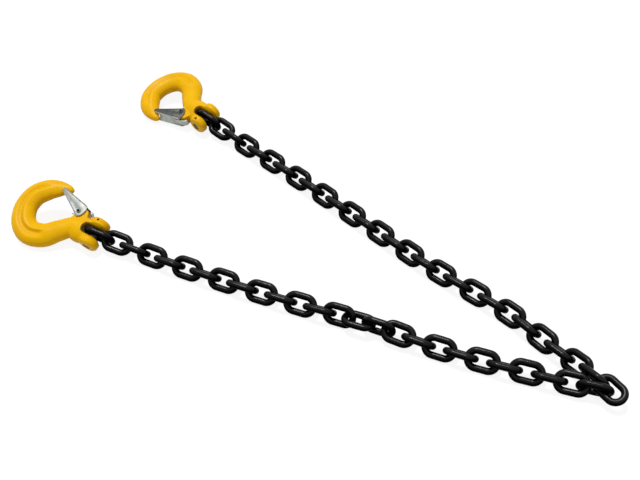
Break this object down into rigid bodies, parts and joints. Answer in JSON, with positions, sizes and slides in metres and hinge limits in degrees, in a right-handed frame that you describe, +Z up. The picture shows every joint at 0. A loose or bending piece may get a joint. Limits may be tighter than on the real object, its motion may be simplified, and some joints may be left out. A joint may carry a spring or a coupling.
{
  "type": "lifting chain",
  "caption": "Two-leg lifting chain: round links folded at the middle link, a forged clevis hook with a sprung safety latch on each end.",
  "frame": {"origin": "middle of the bounding box on the ground the chain lies on", "axes": "+X runs from the hooks toward the middle link along the bisector of the two legs, +Z up from the ground, +Y completes a right-handed frame, toward the back leg"},
  "size_m": [0.7595, 0.3603, 0.0445],
  "materials": {
    "chain_black": "semi-gloss black lacquer",
    "hook_paint": "glossy warm yellow enamel",
    "latch_zinc": "zinc-plated pressed sheet",
    "pin_steel": "zinc-plated steel",
    "spring_steel": "bright drawn wire"
  },
  "bodies": {
    "apex_link": {"apex_link": "chain_black"},
    "front_link_01": {"front_link_01": "chain_black"},
    "front_link_02": {"front_link_02": "chain_black"},
    "front_link_03": {"front_link_03": "chain_black"},
    "front_link_04": {"front_link_04": "chain_black"},
    "front_link_05": {"front_link_05": "chain_black"},
    "front_link_06": {"front_link_06": "chain_black"},
    "front_link_07": {"front_link_07": "chain_black"},
    "front_link_08": {"front_link_08": "chain_black"},
    "front_links_09_10": {"front_links_09_10": "chain_black"},
    "front_links_11_12": {"front_links_11_12": "chain_black"},
    "front_links_13_14": {"front_links_13_14": "chain_black"},
    "front_link_15": {"front_link_15": "chain_black"},
    "front_link_16": {"front_link_16": "chain_black"},
    "front_link_17": {"front_link_17": "chain_black"},
    "front_link_18": {"front_link_18": "chain_black"},
    "front_link_19": {"front_link_19": "chain_black"},
    "front_link_20": {"front_link_20": "chain_black"},
    "front_link_21": {"front_link_21": "chain_black"},
    "front_link_22": {"front_link_22": "chain_black"},
    "front_link_23": {"front_link_23": "chain_black"},
    "front_link_24": {"front_link_24": "chain_black"},
    "front_link_25": {"front_link_25": "chain_black"},
    "front_link_26": {"front_link_26": "chain_black"},
    "hook_front": {"hook_front": "hook_paint", "load_pin_front": "pin_steel", "lock_pin_front": "pin_steel", "latch_pin_front": "pin_steel", "latch_spring_front": "spring_steel"},
    "latch_front": {"latch_front": "latch_zinc"},
    "back_link_01": {"back_link_01": "chain_black"},
    "back_link_02": {"back_link_02": "chain_black"},
    "back_link_03": {"back_link_03": "chain_black"},
    "back_link_04": {"back_link_04": "chain_black"},
    "back_link_05": {"back_link_05": "chain_black"},
    "back_link_06": {"back_link_06": "chain_black"},
    "back_link_07": {"back_link_07": "chain_black"},
    "back_link_08": {"back_link_08": "chain_black"},
    "back_links_09_10": {"back_links_09_10": "chain_black"},
    "back_links_11_12": {"back_links_11_12": "chain_black"},
    "back_links_13_14": {"back_links_13_14": "chain_black"},
    "back_link_15": {"back_link_15": "chain_black"},
    "back_link_16": {"back_link_16": "chain_black"},
    "back_link_17": {"back_link_17": "chain_black"},
    "back_link_18": {"back_link_18": "chain_black"},
    "back_link_19": {"back_link_19": "chain_black"},
    "back_link_20": {"back_link_20": "chain_black"},
    "back_link_21": {"back_link_21": "chain_black"},
    "back_link_22": {"back_link_22": "chain_black"},
    "back_link_23": {"back_link_23": "chain_black"},
    "back_link_24": {"back_link_24": "chain_black"},
    "back_link_25": {"back_link_25": "chain_black"},
    "back_link_26": {"back_link_26": "chain_black"},
    "back_link_27": {"back_link_27": "chain_black"},
    "hook_back": {"hook_back": "hook_paint", "load_pin_back": "pin_steel", "lock_pin_back": "pin_steel", "latch_pin_back": "pin_steel", "latch_spring_back": "spring_steel"},
    "latch_back": {"latch_back": "latch_zinc"}
  },
  "joints": [
    {"name": "latch_front_turn", "type": "hinge", "parent": "hook_front", "child": "latch_front", "pos_m": [-0.2692, -0.11835, 0.02565], "axis": [0.1105, -0.3553, 0.9282], "range_deg": [0, 45], "stiffness_Nm_per_rad": 0.05, "springref_deg": -20.05, "deforming": ["latch_spring_front"]},
    {"name": "latch_back_turn", "type": "hinge", "parent": "hook_back", "child": "latch_back", "pos_m": [-0.30138, 0.11328, 0.01415], "axis": [0.06, 0.2323, -0.9708], "range_deg": [0, 45], "stiffness_Nm_per_rad": 0.05, "springref_deg": -20.05, "deforming": ["latch_spring_back"]},
    {"name": "hook_front_swing", "type": "hinge", "parent": "front_link_26", "child": "hook_front", "pos_m": [-0.23875, -0.12907, 0.01792], "axis": [-0.0467, 0.931, 0.3619], "range_deg": [-70, 70]},
    {"name": "hook_back_swing", "type": "hinge", "parent": "back_link_27", "child": "hook_back", "pos_m": [-0.26979, 0.12255, 0.01832], "axis": [-0.1357, -0.9616, -0.2385], "range_deg": [-70, 70]},
    {"name": "front_link_01_swing", "type": "hinge", "parent": "apex_link", "child": "front_link_01", "pos_m": [0.35967, -0.0117, 0.01689], "axis": [-0.1501, -0.4796, 0.8646], "range_deg": [0, 60]},
    {"name": "front_link_02_swing", "type": "hinge", "parent": "front_link_01", "child": "front_link_02", "pos_m": [0.32988, -0.02052, 0.01251], "axis": [0.058, -0.5886, 0.8063], "range_deg": [-30, 90]},
    {"name": "front_link_03_swing", "type": "hinge", "parent": "front_link_02", "child": "front_link_03", "pos_m": [0.30697, -0.02516, 0.01047], "axis": [0.177, -0.6846, -0.7071], "range_deg": [-90, 80]},
    {"name": "front_link_04_swing", "type": "hinge", "parent": "front_link_03", "child": "front_link_04", "pos_m": [0.28423, -0.03123, 0.01082], "axis": [-0.183, 0.683, -0.7071], "range_deg": [-90, 90]},
    {"name": "front_link_05_swing", "type": "hinge", "parent": "front_link_04", "child": "front_link_05", "pos_m": [0.26138, -0.03739, 0.01082], "axis": [-0.183, 0.683, 0.7071], "range_deg": [-90, 90]},
    {"name": "front_link_06_swing", "type": "hinge", "parent": "front_link_05", "child": "front_link_06", "pos_m": [0.23849, -0.04353, 0.01082], "axis": [0.1621, -0.6883, 0.7071], "range_deg": [-90, 90]},
    {"name": "front_link_07_swing", "type": "hinge", "parent": "front_link_06", "child": "front_link_07", "pos_m": [0.21539, -0.04884, 0.01082], "axis": [0.141, -0.6929, -0.7071], "range_deg": [-90, 90]},
    {"name": "front_link_08_swing", "type": "hinge", "parent": "front_link_07", "child": "front_link_08", "pos_m": [0.19214, -0.05344, 0.01082], "axis": [-0.1289, 0.6953, -0.7071], "range_deg": [-90, 90]},
    {"name": "front_links_09_10_swing", "type": "hinge", "parent": "front_link_08", "child": "front_links_09_10", "pos_m": [0.16882, -0.05769, 0.01082], "axis": [-0.0899, 0.7019, 0.7066], "range_deg": [-90, 90]},
    {"name": "front_links_11_12_swing", "type": "hinge", "parent": "front_links_09_10", "child": "front_links_11_12", "pos_m": [0.12272, -0.06545, 0.01386], "axis": [0.1702, -0.9729, -0.1564], "range_deg": [-90, 90]},
    {"name": "front_links_13_14_swing", "type": "hinge", "parent": "front_links_11_12", "child": "front_links_13_14", "pos_m": [0.07715, -0.07363, 0.01288], "axis": [-0.1489, 0.8786, -0.4538], "range_deg": [-90, 90]},
    {"name": "front_link_15_swing", "type": "hinge", "parent": "front_links_13_14", "child": "front_link_15", "pos_m": [0.03158, -0.08226, 0.01066], "axis": [0.134, -0.6943, 0.7071], "range_deg": [-90, 90]},
    {"name": "front_link_16_swing", "type": "hinge", "parent": "front_link_15", "child": "front_link_16", "pos_m": [0.00846, -0.08685, 0.0108], "axis": [0.141, -0.6929, -0.7071], "range_deg": [-90, 90]},
    {"name": "front_link_17_swing", "type": "hinge", "parent": "front_link_16", "child": "front_link_17", "pos_m": [-0.01476, -0.09159, 0.01082], "axis": [-0.1329, 0.6945, -0.7071], "range_deg": [-90, 90]},
    {"name": "front_link_18_swing", "type": "hinge", "parent": "front_link_17", "child": "front_link_18", "pos_m": [-0.03804, -0.096, 0.01082], "axis": [-0.1248, 0.696, 0.7071], "range_deg": [-90, 90]},
    {"name": "front_link_19_swing", "type": "hinge", "parent": "front_link_18", "child": "front_link_19", "pos_m": [-0.06138, -0.10014, 0.01082], "axis": [0.1167, -0.6974, 0.7071], "range_deg": [-90, 90]},
    {"name": "front_link_20_swing", "type": "hinge", "parent": "front_link_19", "child": "front_link_20", "pos_m": [-0.08476, -0.104, 0.01082], "axis": [0.1106, -0.6984, -0.7071], "range_deg": [-90, 90]},
    {"name": "front_link_21_swing", "type": "hinge", "parent": "front_link_20", "child": "front_link_21", "pos_m": [-0.10818, -0.10767, 0.01082], "axis": [-0.1045, 0.6993, -0.7071], "range_deg": [-90, 90]},
    {"name": "front_link_22_swing", "type": "hinge", "parent": "front_link_21", "child": "front_link_22", "pos_m": [-0.13162, -0.11114, 0.01082], "axis": [-0.0984, 0.7002, 0.7071], "range_deg": [-90, 90]},
    {"name": "front_link_23_swing", "type": "hinge", "parent": "front_link_22", "child": "front_link_23", "pos_m": [-0.1551, -0.1144, 0.01082], "axis": [0.1012, -0.6999, 0.7071], "range_deg": [-90, 90]},
    {"name": "front_link_24_swing", "type": "hinge", "parent": "front_link_23", "child": "front_link_24", "pos_m": [-0.17859, -0.11746, 0.01117], "axis": [0.0871, -0.7619, -0.6418], "range_deg": [-90, 90]},
    {"name": "front_link_25_swing", "type": "hinge", "parent": "front_link_24", "child": "front_link_25", "pos_m": [-0.20188, -0.12134, 0.01265], "axis": [-0.1844, 0.5042, -0.8436], "range_deg": [-90, 90]},
    {"name": "front_link_26_swing", "type": "hinge", "parent": "front_link_25", "child": "front_link_26", "pos_m": [-0.2249, -0.12587, 0.01525], "axis": [-0.1359, 0.9127, 0.3853], "range_deg": [-60, 10]},
    {"name": "back_link_01_swing", "type": "hinge", "parent": "apex_link", "child": "back_link_01", "pos_m": [0.34533, -0.00462, 0.01562], "axis": [0.2365, 0.8256, 0.5123], "range_deg": [-25, 12.5]},
    {"name": "back_link_02_swing", "type": "hinge", "parent": "back_link_01", "child": "back_link_02", "pos_m": [0.32312, 0.00294, 0.01278], "axis": [-0.2982, -0.6714, 0.6784], "range_deg": [-20, 27.5]},
    {"name": "back_link_03_swing", "type": "hinge", "parent": "back_link_02", "child": "back_link_03", "pos_m": [0.30095, 0.01028, 0.01038], "axis": [-0.177, -0.6846, -0.7071], "range_deg": [-90, 90]},
    {"name": "back_link_04_swing", "type": "hinge", "parent": "back_link_03", "child": "back_link_04", "pos_m": [0.278, 0.01591, 0.01082], "axis": [0.2126, 0.6744, -0.7071], "range_deg": [-90, 90]},
    {"name": "back_link_05_swing", "type": "hinge", "parent": "back_link_04", "child": "back_link_05", "pos_m": [0.25546, 0.02324, 0.01082], "axis": [0.2185, 0.6725, 0.7071], "range_deg": [-90, 90]},
    {"name": "back_link_06_swing", "type": "hinge", "parent": "back_link_05", "child": "back_link_06", "pos_m": [0.23293, 0.0306, 0.01082], "axis": [-0.1591, -0.689, 0.7071], "range_deg": [-90, 90]},
    {"name": "back_link_07_swing", "type": "hinge", "parent": "back_link_06", "child": "back_link_07", "pos_m": [0.20974, 0.03558, 0.01082], "axis": [-0.0984, -0.7002, -0.7071], "range_deg": [-90, 90]},
    {"name": "back_link_08_swing", "type": "hinge", "parent": "back_link_07", "child": "back_link_08", "pos_m": [0.18621, 0.03852, 0.01082], "axis": [0.0923, 0.7011, -0.7071], "range_deg": [-90, 90]},
    {"name": "back_links_09_10_swing", "type": "hinge", "parent": "back_link_08", "child": "back_links_09_10", "pos_m": [0.16271, 0.04158, 0.01082], "axis": [0.0862, 0.7018, 0.7071], "range_deg": [-90, 90]},
    {"name": "back_links_11_12_swing", "type": "hinge", "parent": "back_links_09_10", "child": "back_links_11_12", "pos_m": [0.11578, 0.0482, 0.01082], "axis": [-0.1309, -0.6949, -0.7071], "range_deg": [-90, 90]},
    {"name": "back_links_13_14_swing", "type": "hinge", "parent": "back_links_11_12", "child": "back_links_13_14", "pos_m": [0.0694, 0.05798, 0.01082], "axis": [0.153, 0.6903, 0.7071], "range_deg": [-90, 90]},
    {"name": "back_link_15_swing", "type": "hinge", "parent": "back_links_13_14", "child": "back_link_15", "pos_m": [0.02312, 0.06824, 0.01082], "axis": [-0.153, -0.6903, -0.7071], "range_deg": [-90, 90]},
    {"name": "back_link_16_swing", "type": "hinge", "parent": "back_link_15", "child": "back_link_16", "pos_m": [-0.00002, 0.07337, 0.01082], "axis": [0.153, 0.6903, -0.7071], "range_deg": [-90, 90]},
    {"name": "back_link_17_swing", "type": "hinge", "parent": "back_link_16", "child": "back_link_17", "pos_m": [-0.02315, 0.0785, 0.01082], "axis": [0.153, 0.6903, 0.7071], "range_deg": [-90, 90]},
    {"name": "back_link_18_swing", "type": "hinge", "parent": "back_link_17", "child": "back_link_18", "pos_m": [-0.04629, 0.08363, 0.01082], "axis": [-0.153, -0.6903, 0.7071], "range_deg": [-90, 90]},
    {"name": "back_link_19_swing", "type": "hinge", "parent": "back_link_18", "child": "back_link_19", "pos_m": [-0.06943, 0.08876, 0.01082], "axis": [-0.1455, -0.692, -0.7071], "range_deg": [-90, 90]},
    {"name": "back_link_20_swing", "type": "hinge", "parent": "back_link_19", "child": "back_link_20", "pos_m": [-0.09263, 0.09359, 0.01082], "axis": [0.1379, 0.6935, -0.7071], "range_deg": [-90, 90]},
    {"name": "back_link_21_swing", "type": "hinge", "parent": "back_link_20", "child": "back_link_21", "pos_m": [-0.11589, 0.09817, 0.01082], "axis": [0.1304, 0.695, 0.7071], "range_deg": [-90, 90]},
    {"name": "back_link_22_swing", "type": "hinge", "parent": "back_link_21", "child": "back_link_22", "pos_m": [-0.13919, 0.1025, 0.01082], "axis": [-0.1228, -0.6964, 0.7071], "range_deg": [-90, 90]},
    {"name": "back_link_23_swing", "type": "hinge", "parent": "back_link_22", "child": "back_link_23", "pos_m": [-0.16254, 0.10657, 0.01082], "axis": [-0.1228, -0.6964, -0.7071], "range_deg": [-90, 90]},
    {"name": "back_link_24_swing", "type": "hinge", "parent": "back_link_23", "child": "back_link_24", "pos_m": [-0.18588, 0.11068, 0.01082], "axis": [0.111, 0.6984, -0.707], "range_deg": [-90, 90]},
    {"name": "back_link_25_swing", "type": "hinge", "parent": "back_link_24", "child": "back_link_25", "pos_m": [-0.20919, 0.11479, 0.01129], "axis": [0.1754, 0.7692, 0.6144], "range_deg": [-90, 90]},
    {"name": "back_link_26_swing", "type": "hinge", "parent": "back_link_25", "child": "back_link_26", "pos_m": [-0.2324, 0.11889, 0.01299], "axis": [0.0413, -0.4785, 0.8771], "range_deg": [-90, 90]},
    {"name": "back_link_27_swing", "type": "hinge", "parent": "back_link_26", "child": "back_link_27", "pos_m": [-0.25561, 0.12164, 0.0159], "axis": [-0.1204, -0.9498, -0.2888], "range_deg": [-30, 30]}
  ]
}
